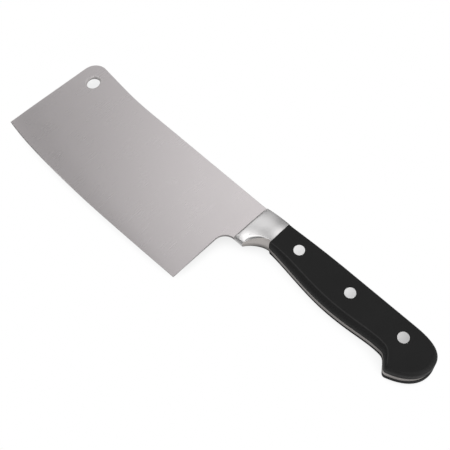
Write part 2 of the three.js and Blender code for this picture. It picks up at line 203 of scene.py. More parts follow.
def cover(shape, rings, finish):
    """A flat face inside the first ring, with the other rings as holes."""
    sides = [shape.edges.get((loop[k - 1], loop[k])) for loop in rings for k in range(len(loop))]
    made = bmesh.ops.triangle_fill(shape, edges=sides, use_beauty=True)
    for part in made["geom"]:
        if isinstance(part, bmesh.types.BMFace):
            part.material_index = finish


SATIN, GROUND, POLISHED, HONED, PAINTED_SHADE_FRONT, PUNCHED_PAINTED_LIGHT, FILED_PAINTED_SHADE = range(7)  # finishes of the forging

front_top = Vector((tip.x + FRONT_LEAN, SPINE_RISE))
sweep_start = Vector((SPINE_RISE_BEHIND_TIP - BLADE_LENGTH, 0))
sweep_bend = sweep_start - Vector((SPINE_SWEEP_LENGTH / 2, 0))
sweep_rise = SPINE_RISE * SPINE_SWEEP_LENGTH / 2 / (sweep_bend.x - front_top.x)
sweep_end = sweep_bend + Vector((-SPINE_SWEEP_LENGTH / 2, sweep_rise))
front_corner = rounded_corner(sweep_end, front_top, tip, FRONT_CORNER_RADIUS, CORNER_STEPS)
front_shoulder = tip + (front_top - tip).normalized() * EDGE_BEVEL_TIP
heel_shoulder = heel + Vector((0, EDGE_BEVEL_TIP))
choil_middle = Vector((0, -CHOIL_DEPTH - HEEL_SETBACK))
choil_start = choil_middle - Vector((HEEL_SETBACK, 0))

upper_side = [Vector((BLADE_ROOT, -BLADE_ROOT)), Vector((SPINE_ROOT, 0))]
upper_side += curve([sweep_start, sweep_bend, sweep_end], CORNER_STEPS)
upper_side += front_corner
upper_side += spaced(front_corner[-1], front_shoulder, STRAIGHT_STEPS)[1:]
lower_side = spaced(heel_shoulder, choil_start, STRAIGHT_STEPS)
lower_side += arc(choil_middle, HEEL_SETBACK, math.pi, math.pi / 2, CORNER_STEPS)[1:]
lower_side += [Vector((BLADE_ROOT, -CHOIL_DEPTH + BLADE_ROOT))]
blade_outline = upper_side + cutting_edge + lower_side
edge_first = len(upper_side)
edge_last = edge_first + len(cutting_edge) - 1


def bevel_width(x):
    """Width of the honed bevel at a place x along the edge."""
    wide_end = tip.x + BEVEL_WIDE_BEHIND_TIP
    narrow_start = tip.x + BEVEL_NARROW_BEHIND_TIP
    share = min(max((x - wide_end) / (narrow_start - wide_end), 0), 1)
    return between(EDGE_BEVEL_TIP, EDGE_BEVEL_HEEL, share)


blade_insets = []
for k, place in enumerate(blade_outline):
    blade_insets.append(bevel_width(place.x) if edge_first <= k < edge_last else RIM_CHAMFER)
blade_inner = drawn_in(blade_outline, blade_insets)


def rim_half(k):
    """Half of the blade's thickness at a point of its outline."""
    if edge_first <= k <= edge_last:
        return blade_half(*blade_inner[k]) - bevel_width(blade_outline[k].x) * math.tan(EDGE_ANGLE)
    return blade_half(*blade_outline[k]) - RIM_CHAMFER


hole_middle = Vector((HANGING_HOLE_BEHIND_TIP - BLADE_LENGTH, -HANGING_HOLE_DEPTH))
hole_radius = HANGING_HOLE_DIAMETER / 2

blade = bmesh.new()
rims = []
walls = []
for side in (1, -1):
    rim = [(*point, side * rim_half(k)) for k, point in enumerate(blade_outline)]
    rims.append(ring(blade, rim))
    inner = ring(blade, [(*point, side * blade_half(*point)) for point in blade_inner])
    mouth = []
    for turn in spaced(0, math.pi / 2, HOLE_ROUNDING_STEPS):
        radius = hole_radius + HANGING_HOLE_ROUNDING * (1 - math.sin(turn))
        sunk = HANGING_HOLE_ROUNDING * (1 - math.cos(turn))
        circle = arc(hole_middle, radius, 0, 2 * math.pi, HOLE_SIDES)[1:]
        mouth.append(ring(blade, [(*point, side * (blade_half(*point) - sunk)) for point in circle]))
    walls.append(mouth[-1])
    skin(blade, [rims[-1], inner], GROUND)
    # The hole's mouth and wall get a paler steel as painted light on their shaded surfaces
    skin(blade, mouth, PUNCHED_PAINTED_LIGHT)
    cover(blade, [inner, mouth[0]], SATIN)
skin(blade, rims, GROUND)
skin(blade, walls, PUNCHED_PAINTED_LIGHT)
edge_points = {point for rim in rims for point in rim[edge_first:edge_last + 1]}
# The choil's rim gets a darker steel as painted shade along it
choil_shade_points = {point for rim in rims for point in rim[edge_last:]}
for face in blade.faces:
    if sum(corner in edge_points for corner in face.verts) == 2:
        face.material_index = HONED
    if sum(corner in choil_shade_points for corner in face.verts) >= 2:
        face.material_index = FILED_PAINTED_SHADE

# A grid of cuts lets the faces follow their rounding towards the edge
grid_depths = [*range(0, FINE_GRID_DEPTH, FACE_GRID)]
grid_depths += range(FINE_GRID_DEPTH, math.floor(BLADE_DEPTH), FINE_GRID)
grid_cuts = [((x, 0, 0), (1, 0, 0)) for x in range(-BLADE_LENGTH, 0, FACE_GRID)]
grid_cuts += [((0, -depth, 0), (0, 1, 0)) for depth in grid_depths]
for place, across in grid_cuts:
    parts = blade.verts[:] + blade.edges[:] + blade.faces[:]
    bmesh.ops.bisect_plane(blade, geom=parts, plane_co=place, plane_no=across, dist=CUT_TOLERANCE)
for corner in blade.verts:
    if all(face.material_index == SATIN for face in corner.link_faces):
        corner.co.z = math.copysign(blade_half(corner.co.x, corner.co.y), corner.co.z)
bmesh.ops.triangulate(blade, faces=blade.faces[:])

# The bolster: the thick collar of the same forging between blade and handle. It is polished over
# slightly crowned faces behind a front rounding painted darker as painted shade, swells to the
# handle's thickness, narrows to a chin below, and has a finger scoop ground across its underside,
# sharp against the faces.
BOLSTER_LENGTH = 18.9
BOLSTER_DEPTH = 25.9
BOLSTER_FRONT_THICKNESS = 6.8
SWELL_FULLNESS = 1.7
FRONT_ROUNDING = 2
FRONT_NARROWING = 0.4  # the front's rounding narrows by this share towards the chin
FRONT_LEAN_BACK = 0.03  # the front leans back towards the spine
FACE_MIDDLE = -9  # the faces are crowned about this height
FACE_STRAIGHT_ABOVE = -3  # and run straight above this one
FACE_CROWNING_FRONT = 0.0174  # turn of the face, in radians per millimetre
FACE_CROWNING_BEHIND = 0.0268
CHIN_SETBACK = 6.6
CHIN_THICKNESS = 4.9
CHIN_FLAT = 0.5  # share of the chin's thickness that is flat underneath
SCOOP_FULLNESS = 1.75
KEEL_AT_CHIN = 1
KEEL_BEHIND = 2.2
FLANK_AT_CHIN = 7
FLANK_BEHIND = 0.6
TOP_ROUNDING = 0.35
HANDLE_FRONT_TOP_DEPTH = 0.45
HANDLE_FRONT_BOTTOM_DEPTH = 17.3
ROUNDING_STEPS = 8
CHIN_STEPS = 10
SCOOP_STEPS = 30
SECTION_STEPS = 12
FRONT_SHADE_STEPS = 6  # steps of the front's rounding painted darker, as painted shade


def bolster_section(x):
    """The +Z half of the bolster's section, from its keel up to the middle of its crown."""
    along = x / BOLSTER_LENGTH
    into_scoop = max(x - CHIN_SETBACK, 0) / (BOLSTER_LENGTH - CHIN_SETBACK)
    scooped = math.sqrt(1 - (1 - into_scoop) ** 2) ** SCOOP_FULLNESS
    swell = 1 - (1 - along) ** SWELL_FULLNESS
    half = between(BOLSTER_FRONT_THICKNESS / 2, HANDLE_THICKNESS / 2, swell)
    crowning = between(FACE_CROWNING_FRONT, FACE_CROWNING_BEHIND, along)
    keel = between(KEEL_AT_CHIN, KEEL_BEHIND, scooped)
    flank = between(FLANK_AT_CHIN, FLANK_BEHIND, math.sqrt(scooped))
    flat = between(CHIN_FLAT, 0, scooped)
    top = -along * HANDLE_FRONT_TOP_DEPTH
    bottom = -BOLSTER_DEPTH + scooped * (BOLSTER_DEPTH - HANDLE_FRONT_BOTTOM_DEPTH)
    flank_top = bottom + keel + flank

    def face(height):
        bent = min(height, FACE_STRAIGHT_ABOVE) - FACE_MIDDLE
        straight = max(height - FACE_STRAIGHT_ABOVE, 0)
        return half - crowning * bent * (bent / 2 + straight)

    straight_drop = crowning * (FACE_MIDDLE - flank_top) * flank
    underside = between(CHIN_THICKNESS / 2, face(flank_top) - straight_drop, math.sqrt(scooped))
    round_drop = face(flank_top) - straight_drop - underside
    section = []
    for share in spaced(0, 1, SECTION_STEPS):
        up_the_keel = max(share - flat, 0) / (1 - flat)
        section.append((bottom + keel * up_the_keel ** (1 + scooped), underside * share))
    for share in spaced(1, 0, SECTION_STEPS)[1:]:
        side = face(flank_top) - straight_drop * share - round_drop * share ** 2
        section.append((flank_top - flank * share, side))
    for height in spaced(flank_top, top - TOP_ROUNDING, SECTION_STEPS)[1:]:
        section.append((height, face(height)))
    for turn in spaced(0, math.pi / 2, SECTION_STEPS)[1:]:
        height = top - TOP_ROUNDING * (1 - math.sin(turn))
        section.append((height, face(height) - TOP_ROUNDING * (1 - math.cos(turn))))
    section.append((top, 0))
    from_rounding = max(1 - x / FRONT_ROUNDING, 0)
    risen = math.sqrt(1 - from_rounding ** 2)
    return [(y, between(min(z, blade_half(0, y)), z, risen)) for y, z in section]


bolster_places = spaced(0, FRONT_ROUNDING, ROUNDING_STEPS)
bolster_places += spaced(FRONT_ROUNDING, CHIN_SETBACK, CHIN_STEPS)[1:]
scoop_length = BOLSTER_LENGTH - CHIN_SETBACK
for turn in spaced(0, math.pi / 2, SCOOP_STEPS)[1:]:
    bolster_places.append(BOLSTER_LENGTH - scoop_length * math.cos(turn))


def along_bolster(x, y):
    """Where a section's point lies along the knife: the front narrows downwards and leans."""
    front = FRONT_ROUNDING * (1 + FRONT_NARROWING * max(y / BOLSTER_DEPTH, -1))
    place = x
    if x < FRONT_ROUNDING:
        place = front * x / FRONT_ROUNDING
    elif x < CHIN_SETBACK:
        place = between(front, CHIN_SETBACK, (x - FRONT_ROUNDING) / (CHIN_SETBACK - FRONT_ROUNDING))
    return place + FRONT_LEAN_BACK * (1 - x / BOLSTER_LENGTH) * (y - FACE_MIDDLE)


bolster = bmesh.new()
bolster_rings = []
for x in bolster_places:
    near_side = bolster_section(x)
    far_side = [(y, -z) for y, z in near_side[1:-1]]
    points = [(along_bolster(x, y), y, z) for y, z in near_side + far_side[::-1]]
    bolster_rings.append(ring(bolster, points))
skin(bolster, bolster_rings, POLISHED)
cover(bolster, bolster_rings[:1], POLISHED)
cover(bolster, bolster_rings[-1:], GROUND)
# Painted shade: the faces of the front rounding get a darker steel, for the dark line at the bolster's
# front
front_shade_points = {point for points in bolster_rings[:FRONT_SHADE_STEPS + 1] for point in points}
scoop_points = set()
for points in bolster_rings[ROUNDING_STEPS + CHIN_STEPS:]:
    scoop_points.update(points[k] for k in range(-SECTION_STEPS, SECTION_STEPS + 1))
for face in bolster.faces:
    if all(point in front_shade_points for point in face.verts):
        face.material_index = PAINTED_SHADE_FRONT
    elif all(point in scoop_points for point in face.verts):
        face.material_index = GROUND

# The tang: the flat rear end of the forging, cut to the handle's whole outline, so that its
# edge shows as a steel line between the two scales. It is drilled for the rivets and its edge
# is ground flush with the scales.
TANG_THICKNESS = 3.2
TANG_ROOT = 2  # the tang runs this far into the bolster
TANG_SHY = 0.6  # the tang is ground back this much at the butt
TANG_SHY_REACH = 16
HANDLE_LENGTH = 107.4
HUMP_HEIGHT = 1.1
HUMP_START = 47
HUMP_BEFORE_BUTT = 20
BUTT_DEPTH = 11
BEAK_BEFORE_BUTT = 16.3
BEAK_DEPTH = 27.6
BEAK_RADIUS = 2.2
SOLE_SLOPE = math.radians(18.5)
BEAK_LEAN = math.radians(37.5)
WAIST_BEFORE_BEAK = 12.7
WAIST_DEPTH = 20.2
BELLY_DEPTH = 22.3
BELLY_BEHIND_FRONT = 47
THROAT_SLOPE = math.radians(6)
HUMP_FULLNESS = (0.1, 0.6)
BUTT_TOP_FULLNESS = (0.62, 0.78)
BUTT_SOLE_FULLNESS = (0.6, 0.31)
HOLLOW_FULLNESS = (0.72, 0.6)
WAIST_TO_BELLY_FULLNESS = (0.25, 0.45)
BELLY_TO_FRONT_FULLNESS = (0.34, 0.36)
OUTLINE_STEPS = 28
RIVET_SETBACKS = (15, 51.5, 87)
RIVET_DEPTH = 8.85
RIVET_SIDES = 64
TANG_HOLE_DIAMETER = 4.9
DRILL_REACH = 3  # past the face that is drilled


def full_curve(start, start_along, end, end_along, fullness):
    """A curve that keeps the direction of each end for a share of the way."""
    way = end - start
    after_start = start + start_along * fullness[0] * way.dot(start_along)
    before_end = end - end_along * fullness[1] * way.dot(end_along)
    return curve([start, after_start, before_end, end], OUTLINE_STEPS)


rearward = Vector((1, 0))
forward = Vector((-1, 0))
down = Vector((0, -1))
handle_end = BOLSTER_LENGTH + HANDLE_LENGTH
front_upper = Vector((BOLSTER_LENGTH, -HANDLE_FRONT_TOP_DEPTH))
hump_start = Vector((BOLSTER_LENGTH + HUMP_START, HUMP_HEIGHT))
hump_end = Vector((handle_end - HUMP_BEFORE_BUTT, HUMP_HEIGHT))
butt = Vector((handle_end, -BUTT_DEPTH))
beak_middle = Vector((handle_end - BEAK_BEFORE_BUTT, -BEAK_DEPTH + BEAK_RADIUS))
beak = arc(beak_middle, BEAK_RADIUS, SOLE_SLOPE - math.pi / 2, BEAK_LEAN - math.pi, OUTLINE_STEPS // 2)
down_the_sole = Vector((-math.cos(SOLE_SLOPE), -math.sin(SOLE_SLOPE)))
up_the_notch = Vector((-math.sin(BEAK_LEAN), math.cos(BEAK_LEAN)))
waist = Vector((beak_middle.x - WAIST_BEFORE_BEAK, -WAIST_DEPTH))
belly = Vector((BOLSTER_LENGTH + BELLY_BEHIND_FRONT, -BELLY_DEPTH))
front_lower = Vector((BOLSTER_LENGTH, -HANDLE_FRONT_BOTTOM_DEPTH))
up_the_throat = Vector((-math.cos(THROAT_SLOPE), math.sin(THROAT_SLOPE)))

# The handle's outline, clockwise from the top of its front
handle_runs = [
    full_curve(front_upper, rearward, hump_start, rearward, HUMP_FULLNESS),
    full_curve(hump_end, rearward, butt, down, BUTT_TOP_FULLNESS),
    full_curve(butt, down, beak[0], down_the_sole, BUTT_SOLE_FULLNESS),
    beak,
    full_curve(beak[-1], up_the_notch, waist, forward, HOLLOW_FULLNESS),
    full_curve(waist, forward, belly, forward, WAIST_TO_BELLY_FULLNESS),
    full_curve(belly, forward, front_lower, up_the_throat, BELLY_TO_FRONT_FULLNESS),
]
handle_outline = handle_runs[0] + handle_runs[1]
for run in handle_runs[2:]:
    handle_outline = handle_outline + run[1:]

tang_root = BOLSTER_LENGTH - TANG_ROOT
tang_outline = [Vector((tang_root, -TANG_ROOT))]
places_before = handle_outline[:1] + handle_outline
places_after = handle_outline[1:] + [front_lower]
for before, place, after in zip(places_before, handle_outline, places_after):
    along = (after - before).normalized()
    near_butt = max(1 - (place - butt).length / TANG_SHY_REACH, 0)
    tang_outline.append(place + Vector((along.y, -along.x)) * TANG_SHY * near_butt)
tang_outline += [Vector((tang_root, TANG_ROOT - HANDLE_FRONT_BOTTOM_DEPTH))]
tang_half = TANG_THICKNESS / 2
tang = bmesh.new()
tang_rings = []
for side in (-1, 1):
    tang_rings.append(ring(tang, [(*point, side * tang_half) for point in tang_outline]))
skin(tang, tang_rings, GROUND)
for tang_face in tang_rings:
    cover(tang, [tang_face], GROUND)

rivet_places = [Vector((BOLSTER_LENGTH + setback, -RIVET_DEPTH)) for setback in RIVET_SETBACKS]


def turned(shape, place, profile, finish=0):
    """A turned form about an upright axis. The profile's points are (radius, height), and it
    starts and ends on the axis."""
    rings = []
    for radius, height in profile[1:-1]:
        circle = arc(place, radius, 0, 2 * math.pi, RIVET_SIDES)[1:]
        rings.append(ring(shape, [(*point, height) for point in circle]))
    skin(shape, rings, finish)
    cover(shape, rings[:1], finish)
    cover(shape, rings[-1:], finish)


tang_drill = bmesh.new()
drill_end = tang_half + DRILL_REACH
for place in rivet_places:
    drill = [(TANG_HOLE_DIAMETER / 2, -drill_end), (TANG_HOLE_DIAMETER / 2, drill_end)]
    turned(tang_drill, place, [(0, -drill_end), *drill, (0, drill_end)], GROUND)

# Finishes of the forging: a satin blade with fine lines from spine to edge, ground spine, scoop
# and tang with short lines, a polished bolster whose rough front rounding is painted darker as
# painted shade, a honed edge, a hanging hole left rough by the punch and painted paler than the
# blade as painted light on its shaded wall, and a rough filed choil painted darker as painted
# shade along its rim.
LINE_HEIGHT = 0.02  # of the lines in steel and the grain of plastic, in millimetres
LINE_DETAIL = 3
LINE_RAGGEDNESS = 0.6
LINE_SHARE = 0.6  # of the lines in the roughness, beside that of broad clouds
CLOUD_SHARE = 0.4
CLOUDS_PER_METRE = 90
CLOUD_DETAIL = 2
MIX_DARK, MIX_PALE, MIX_RESULT = 6, 7, 2  # sockets of the colours in a Mix node


def feed(tree, socket, value):
    """Sets an input to a value, or links it to the socket that feeds it."""
    if isinstance(value, bpy.types.NodeSocket):
        tree.links.new(value, socket)
    else:
        socket.default_value = value


def node(tree, kind, settings=None, **inputs):
    """A shader node. An input is a value, or a socket that feeds it."""
    made = tree.nodes.new(kind)
    for name, value in (settings or {}).items():
        setattr(made, name, value)
    for name, value in inputs.items():
        feed(tree, made.inputs[name.replace("_", " ")], value)
    return made


def calculated(tree, operation, *values):
    """The result of a sum on values or sockets."""
    made = node(tree, "ShaderNodeMath", {"operation": operation})
    for socket, value in zip(made.inputs, values):
        feed(tree, socket, value)
    return made.outputs[0]


def in_range(tree, value, low, high):
    """A value from 0 to 1 brought into another range."""
    return node(tree, "ShaderNodeMapRange", Value=value, To_Min=low, To_Max=high).outputs["Result"]


def noise(tree, place, scale, **inputs):
    return node(tree, "ShaderNodeTexNoise", Vector=place, Scale=scale, **inputs).outputs["Fac"]


def toned(tree, share, dark, pale):
    """A colour between a dark and a pale one."""
    tone = node(tree, "ShaderNodeMix", {"data_type": "RGBA"}, Factor=share)
    tone.inputs[MIX_DARK].default_value = (*dark, 1)
    tone.inputs[MIX_PALE].default_value = (*pale, 1)
    return tone.outputs[MIX_RESULT]


def raised(tree, height, strength):
    """The surface's direction where lines or grain stand up from it."""
    bump = node(tree, "ShaderNodeBump", Height=height, Strength=strength, Distance=LINE_HEIGHT * MM)
    return bump.outputs["Normal"]


def new_finish(name):
    """A material with only its output, and the place on the piece in metres."""
    material = bpy.data.materials.new(name)
    material.use_nodes = True
    material.node_tree.nodes.clear()
    place = node(material.node_tree, "ShaderNodeTexCoord").outputs["Object"]
    return material, material.node_tree, place


def brushed_steel(name, colour, shade, line_size, roughness, line_depth):
    """Steel with fine parallel lines. line_size gives the size of a line along x, y and z in
    millimetres, roughness its lowest and highest value, and shade how much darker a line is."""
    material, tree, place = new_finish(name)
    per_metre = [1 / (size * MM) for size in line_size]
    lined = node(tree, "ShaderNodeMapping", Vector=place, Scale=per_metre).outputs["Vector"]
    lines = noise(tree, lined, 1, Detail=LINE_DETAIL, Roughness=LINE_RAGGEDNESS)
    clouds = noise(tree, place, CLOUDS_PER_METRE, Detail=CLOUD_DETAIL)
    weak_clouds = calculated(tree, "MULTIPLY", clouds, CLOUD_SHARE)
    dullness = calculated(tree, "MULTIPLY_ADD", lines, LINE_SHARE, weak_clouds)
    dark = [channel * (1 - shade) for channel in colour]
    steel = node(
        tree,
        "ShaderNodeBsdfPrincipled",
        Base_Color=toned(tree, lines, dark, colour),
        Metallic=1,
        Roughness=in_range(tree, dullness, *roughness),
        Normal=raised(tree, lines, line_depth),
    )
    node(tree, "ShaderNodeOutputMaterial", Surface=steel.outputs["BSDF"])
    return material


satin_blade = brushed_steel(
    "satin_blade",
    colour=(0.575, 0.543, 0.548),
    shade=0.025,
    line_size=(0.25, 14, 14),
    roughness=(0.25, 0.31),
    line_depth=0.015,
)
ground_steel = brushed_steel(
    "ground_steel",
    colour=(0.45, 0.424, 0.408),
    shade=0.12,
    line_size=(3, 0.4, 0.3),
    roughness=(0.32, 0.46),
    line_depth=0.15,
)
polished_bolster = brushed_steel(
    "polished_bolster",
    colour=(0.815, 0.803, 0.803),
    shade=0.04,
    line_size=(0.3, 5, 5),
    roughness=(0.26, 0.34),
    line_depth=0.06,
)
# Painted shade: darker than the polish, for the dark line along the bolster's front rounding
front_painted_shade = brushed_steel(
    "front_painted_shade",
    colour=(0.6, 0.59, 0.585),
    shade=0.04,
    line_size=(0.3, 5, 5),
    roughness=(0.38, 0.46),
    line_depth=0.06,
)
honed_edge = brushed_steel(
    "honed_edge",
    colour=(0.62, 0.595, 0.595),
    shade=0.03,
    line_size=(0.2, 2, 2),
    roughness=(0.12, 0.16),
    line_depth=0.02,
)
# Painted light: paler than the blade's steel, so the shaded mouth and wall of the hanging hole look
# lit
punched_painted_light = brushed_steel(
    "punched_painted_light",
    colour=(0.64, 0.62, 0.62),
    shade=0.04,
    line_size=(0.3, 5, 5),
    roughness=(0.85, 0.95),
    line_depth=0.06,
)
# Painted shade: darker than the other ground steel, for the shade along the choil's rim
filed_painted_shade = brushed_steel(
    "filed_painted_shade",
    colour=(0.36, 0.345, 0.345),
    shade=0.06,
    line_size=(5, 5, 0.3),
    roughness=(0.75, 0.85),
    line_depth=0.1,
)

SHARP_TURN = math.radians(35)
WELD_DISTANCE = 0.002


def in_millimetres(name, shape, finishes):
    """An object still in the drawing's millimetres, ready to be joined or cut."""
    bmesh.ops.recalc_face_normals(shape, faces=shape.faces[:])
    mesh = bpy.data.meshes.new(name)
    shape.to_mesh(mesh)
    shape.free()
    for finish in finishes:
        mesh.materials.append(finish)
    made = bpy.data.objects.new(name, mesh)
    bpy.context.scene.collection.objects.link(made)
    return made


def worked(stock, steps):
    """The stock after other forms have been joined to it or cut from it, one after another."""
    for operation, tool in steps:
        work = stock.modifiers.new(operation.lower(), "BOOLEAN")
        work.operation = operation
        work.solver = "EXACT"
        work.object = tool
    bpy.context.view_layer.update()
    done = stock.evaluated_get(bpy.context.evaluated_depsgraph_get())
    mesh = bpy.data.meshes.new_from_object(done)
    stock.modifiers.clear()
    stock.data = mesh
    for _, tool in steps:
        bpy.data.objects.remove(tool)
    return stock


def into_frame(piece):
    """Brings a finished piece from the drawing to its place, and marks its sharp edges."""
    shape = bmesh.new()
    shape.from_mesh(piece.data)
    bmesh.ops.remove_doubles(shape, verts=shape.verts[:], dist=WELD_DISTANCE)
    for face in shape.faces:
        face.smooth = True
    for edge in shape.edges:
        finishes = {face.material_index for face in edge.link_faces}
        edge.smooth = len(finishes) == 1 and edge.calc_face_angle(math.pi) < SHARP_TURN
    shape.transform(drawing_to_frame)
    shape.to_mesh(piece.data)
    shape.free()
    return piece


forging_finishes = (
    satin_blade,
    ground_steel,
    polished_bolster,
    honed_edge,
    front_painted_shade,
    punched_painted_light,
    filed_painted_shade,
)
forging = in_millimetres("forging", blade, forging_finishes)
forging = worked(forging, [
    ("UNION", in_millimetres("bolster", bolster, forging_finishes)),
    ("UNION", in_millimetres("tang", tang, forging_finishes)),
    ("DIFFERENCE", in_millimetres("tang_drill", tang_drill, forging_finishes)),
])
into_frame(forging)
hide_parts("blade_forging")
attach(forging, "root")

# The scales: two grips of black moulded plastic, one on each face of the tang. The sides stand
# upright at the tang and round over to a flat face, with a crease along belly and throat and
# none round the butt. Each is drilled and counterbored for the three rivets.
SCALE_FRONT_GAP = 0.05  # fine seam between bolster and scale
SEAM_CHAMFER = 0.1
INSET_TOP_FRONT = 0.9
INSET_TOP = 1.8
INSET_BUTT = 2.6
INSET_BEAK = 1.3
INSET_WAIST = 2.6
INSET_BELLY = 3.1
INSET_FRONT = 1.1
INSET_FRONT_LATENESS = 5
WALL_TOP_FRONT = 3  # height above the tang up to which the sides stand upright
WALL_TOP = 1.8
WALL_BUTT = 3.8
WALL_SOLE = 3.2
WALL_BELLY = 1.4
WALL_FRONT = 1.2
CREASE_TURN = math.radians(66)
SMOOTH_TURN = math.radians(88)
CREASE_ROUNDING = 0.35
CREASE_ROUNDING_LIMIT = 0.9  # share of the side's last step that the rounding may take
FIRST_CREASED_RUN = 4  # of the runs of the handle's outline, counted from 0
WALL_STEPS = 3
SIDE_STEPS = 16
CREASE_STEPS = 5
HEAD_HOLE_DIAMETER = 6.7
SLEEVE_HOLE_DIAMETER = 4.9
RIVET_HEAD_THICKNESS = 2.2

# For each run of the outline: inset, upright wall and turn, each at its start and at its end
scale_sides = [
    ((INSET_TOP_FRONT, INSET_TOP), (WALL_TOP_FRONT, WALL_TOP), (SMOOTH_TURN, SMOOTH_TURN)),
    ((INSET_TOP, INSET_BUTT), (WALL_TOP, WALL_BUTT), (SMOOTH_TURN, SMOOTH_TURN)),
    ((INSET_BUTT, INSET_BEAK), (WALL_BUTT, WALL_SOLE), (SMOOTH_TURN, SMOOTH_TURN)),
    ((INSET_BEAK, INSET_BEAK), (WALL_SOLE, WALL_SOLE), (SMOOTH_TURN, CREASE_TURN)),
    ((INSET_BEAK, INSET_WAIST), (WALL_SOLE, WALL_BELLY), (CREASE_TURN, CREASE_TURN)),
    ((INSET_WAIST, INSET_BELLY), (WALL_BELLY, WALL_BELLY), (CREASE_TURN, CREASE_TURN)),
    ((INSET_BELLY, INSET_FRONT), (WALL_BELLY, WALL_FRONT), (CREASE_TURN, CREASE_TURN)),
]
scale_rise = HANDLE_THICKNESS / 2 - tang_half


def side_profile(inset, wall, turn):
    """The side of a scale in section, from the tang to the face: (drawn in, risen)."""
    profile = [(SEAM_CHAMFER, 0)]
    profile += [(0, height) for height in spaced(SEAM_CHAMFER, wall, WALL_STEPS)]
    for angle in spaced(0, turn, SIDE_STEPS)[1:]:
        risen = wall + (scale_rise - wall) * math.sin(angle) / math.sin(turn)
        profile.append((inset * (1 - math.cos(angle)) / (1 - math.cos(turn)), risen))
    crease = Vector(profile.pop())
    side = Vector(profile[-1])
    taken = min(CREASE_ROUNDING / (crease - side).length, CREASE_ROUNDING_LIMIT)
    before = between(crease, side, taken)
    after = crease + Vector((CREASE_ROUNDING, 0))
    profile += [tuple(point) for point in curve([before, crease, after], CREASE_STEPS)]
    return profile


scale_points = []
for number, (points, (insets, walls, turns)) in enumerate(zip(handle_runs, scale_sides)):
    for k, place in enumerate(points):
        if number > 1 and k == 0:
            continue  # the run before ended here
        share = k / (len(points) - 1)
        inset_share = share ** INSET_FRONT_LATENESS if number == len(handle_runs) - 1 else share
        along = points[min(k + 1, len(points) - 1)] - points[max(k - 1, 0)]
        inward = Vector((along.y, -along.x)).normalized()
        profile = side_profile(
            between(*insets, inset_share), between(*walls, share), between(*turns, share)
        )
        scale_points.append((place.copy(), inward, profile, number >= FIRST_CREASED_RUN))
level_count = len(profile)

# The front end is cut square, a fine gap behind the bolster
for end, towards_middle in ((0, down), (-1, -down)):
    place, inward, _, _ = scale_points[end]
    inward.xy = towards_middle
    place.x += SCALE_FRONT_GAP

# Moulded plastic: black with a fine even grain, smoother along the crease and painted a little
# paler there as a painted highlight
GRAIN_SIZE = 0.3
GRAIN_DETAIL = 2
GRAIN_DEPTH = 0.15
SMEARS_PER_METRE = 60
SMEAR_DETAIL = 3
MOULDED, CREASE_HIGHLIGHT = range(2)  # finishes of the scales


def moulded_plastic(name, greys, roughness, gloss):
    """Plastic with the grain of its mould. Faint smears vary its grey and its roughness."""
    material, tree, place = new_finish(name)
    grain = noise(tree, place, 1 / (GRAIN_SIZE * MM), Detail=GRAIN_DETAIL)
    smears = noise(tree, place, SMEARS_PER_METRE, Detail=SMEAR_DETAIL)
    dark, pale = [(grey, grey, grey) for grey in greys]
    plastic = node(
        tree,
        "ShaderNodeBsdfPrincipled",
        Base_Color=toned(tree, smears, dark, pale),
        Roughness=in_range(tree, smears, *roughness),
        Normal=raised(tree, grain, GRAIN_DEPTH),
        Specular_IOR_Level=gloss,
    )
    node(tree, "ShaderNodeOutputMaterial", Surface=plastic.outputs["BSDF"])
    return material


scale_finishes = (
    moulded_plastic("black_plastic", greys=(0.0165, 0.0205), roughness=(0.36, 0.44), gloss=0.04),
    moulded_plastic("painted_highlight_plastic", greys=(0.029, 0.035), roughness=(0.3, 0.38), gloss=0.06),
)

rivet_seat = HANDLE_THICKNESS / 2 - RIVET_HEAD_THICKNESS
for name, node_name, side in (("scale_front", "front_scale", 1), ("scale_back", "back_scale", -1)):
    scale = bmesh.new()
    levels = []
    for level in range(level_count):
        points = []
        for place, inward, profile, _ in scale_points:
            drawn, risen = profile[level]
            points.append((*(place + inward * drawn), side * (tang_half + risen)))
        levels.append(ring(scale, points))
    skin(scale, levels, MOULDED)
    # The crease's faces get the paler grey of a painted highlight
    crease_highlight_points = set()
    for level in levels[-CREASE_STEPS - 1:]:
        for corner, (*_, is_creased) in zip(level, scale_points):
            if is_creased:
                crease_highlight_points.add(corner)
    for face in scale.faces:
        if all(corner in crease_highlight_points for corner in face.verts):
            face.material_index = CREASE_HIGHLIGHT
    cover(scale, levels[:1], MOULDED)
    cover(scale, levels[-1:], MOULDED)
    scale_drill = bmesh.new()
    through = side * (tang_half - DRILL_REACH)
    above = side * (HANDLE_THICKNESS / 2 + DRILL_REACH)
    drill = [
        (0, through),
        (SLEEVE_HOLE_DIAMETER / 2, through),
        (SLEEVE_HOLE_DIAMETER / 2, side * rivet_seat),
        (HEAD_HOLE_DIAMETER / 2, side * rivet_seat),
        (HEAD_HOLE_DIAMETER / 2, above),
        (0, above),
    ]
    for place in rivet_places:
        turned(scale_drill, place, drill, MOULDED)
    piece = in_millimetres(name, scale, scale_finishes)
    worked(piece, [("DIFFERENCE", in_millimetres("scale_drill", scale_drill, scale_finishes))])
    into_frame(piece)
    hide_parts(node_name)
    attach(piece, "root")

